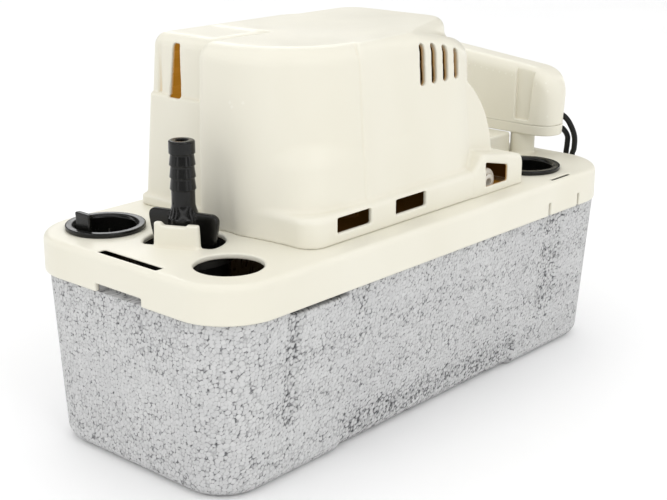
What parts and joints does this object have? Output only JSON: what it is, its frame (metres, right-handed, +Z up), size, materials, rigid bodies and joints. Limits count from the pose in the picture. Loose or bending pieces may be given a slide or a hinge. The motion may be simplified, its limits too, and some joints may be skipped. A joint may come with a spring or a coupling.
{
  "type": "condensate removal pump",
  "caption": "Tank-type condensate pump: foam tank, deck with drain inlets, motor under a moulded cover, float switch box and a barbed check valve.",
  "frame": {"origin": "centre of the tank's bottom face", "axes": "+X along the deck, from the outlet towards the switch box; +Z up; -Y is the side with the low skirt"},
  "size_m": [0.2834, 0.127, 0.1715],
  "materials": {
    "cream_plastic": "satin moulded",
    "bead_foam": "moulded bead foam",
    "black_plastic": "satin moulded",
    "black_rubber": "smooth",
    "white_nylon": "moulded",
    "clear_hose": "soft vinyl",
    "float_foam": "closed-cell foam",
    "lamination": "stacked laminations",
    "steel": "machined",
    "zinc_bracket": "die cast",
    "rotor_aluminium": "cast",
    "bronze": "sintered",
    "copper": "enamelled wire",
    "switch_case": "moulded",
    "button_red": "moulded",
    "terminal_brass": "stamped",
    "connector": "crimp sleeve"
  },
  "bodies": {
    "housing": {"foam_tank": "bead_foam", "deck": "cream_plastic", "motor_cover": "cream_plastic", "switch_tray": "cream_plastic", "switch_cover": "cream_plastic", "wire_bushing": "white_nylon", "stator_core": "lamination", "coil_core": "lamination", "coil_bobbin": "white_nylon", "coil_winding": "copper", "shading_rings": "copper", "upper_bracket": "zinc_bracket", "lower_bracket": "zinc_bracket", "upper_bearing": "bronze", "lower_bearing": "bronze", "thrust_washer": "white_nylon", "motor_bolts": "steel", "motor_nuts": "steel", "thermal_cutout": "black_plastic", "motor_leads": "black_rubber", "pump_column": "white_nylon", "column_screws": "steel", "volute_cover": "white_nylon", "volute_screws": "steel", "inlet_strainer": "white_nylon", "discharge_tube": "clear_hose", "valve_socket": "black_plastic", "rod_bush": "white_nylon", "lever_pin": "steel", "run_switch": "switch_case", "safety_switch": "switch_case", "switch_terminals": "terminal_brass", "switch_screws": "steel", "upper_lead": "black_rubber", "lower_lead": "black_rubber", "lead_connectors": "connector"},
    "rotor": {"motor_shaft": "steel", "rotor_core": "lamination", "rotor_end_rings": "rotor_aluminium", "cooling_fan": "white_nylon", "impeller": "white_nylon", "impeller_clip": "steel", "shaft_slinger": "black_rubber"},
    "float": {"float_body": "float_foam", "float_rod": "steel", "rod_collar": "white_nylon"},
    "lever": {"switch_lever": "white_nylon"},
    "run_button": {"run_button": "button_red"},
    "safety_button": {"safety_button": "button_red"},
    "valve": {"check_valve_body": "black_plastic", "valve_o_ring": "black_rubber", "ball_seat": "black_rubber"},
    "valve_ball": {"check_ball": "steel"},
    "rear_plug": {"rear_inlet_plug": "black_plastic"},
    "far_plug": {"far_inlet_plug": "black_plastic"}
  },
  "joints": [
    {"name": "rotor_spin", "type": "hinge", "parent": "housing", "child": "rotor", "pos_m": [-0.03, 0.002, 0.12], "axis": [0, 0, 1], "continuous": true},
    {"name": "float_rise", "type": "slide", "parent": "housing", "child": "float", "axis": [0, 0, 1], "range_m": [0, 0.012]},
    {"name": "lever_tilt", "type": "hinge", "parent": "housing", "child": "lever", "pos_m": [0.1275, 0.026, 0.11235], "axis": [-1, 0, 0], "range_deg": [0, 17]},
    {"name": "run_button_press", "type": "slide", "parent": "housing", "child": "run_button", "axis": [0, 0, 1], "range_m": [0, 0.0017]},
    {"name": "safety_button_press", "type": "slide", "parent": "housing", "child": "safety_button", "axis": [0, 0, 1], "range_m": [0, 0.0011]},
    {"name": "valve_turn", "type": "hinge", "parent": "housing", "child": "valve", "pos_m": [-0.1025, -0.0005, 0.1], "axis": [0, 0, 1], "range_deg": [0, 35]},
    {"name": "check_ball_lift", "type": "slide", "parent": "valve", "child": "valve_ball", "axis": [0, 0, 1], "range_m": [0, 0.004]},
    {"name": "rear_plug_pull", "type": "slide", "parent": "housing", "child": "rear_plug", "axis": [0, 0, 1], "range_m": [0, 0.04]},
    {"name": "far_plug_pull", "type": "slide", "parent": "housing", "child": "far_plug", "axis": [0, 0, 1], "range_m": [0, 0.04]}
  ],
  "couplings": [
    {"joint": "lever_tilt", "follows": "float_rise", "rad_per_m": 24.39},
    {"joint": "run_button_press", "follows": "float_rise", "ratio": 0.14},
    {"joint": "safety_button_press", "follows": "float_rise", "ratio": 0.09}
  ]
}
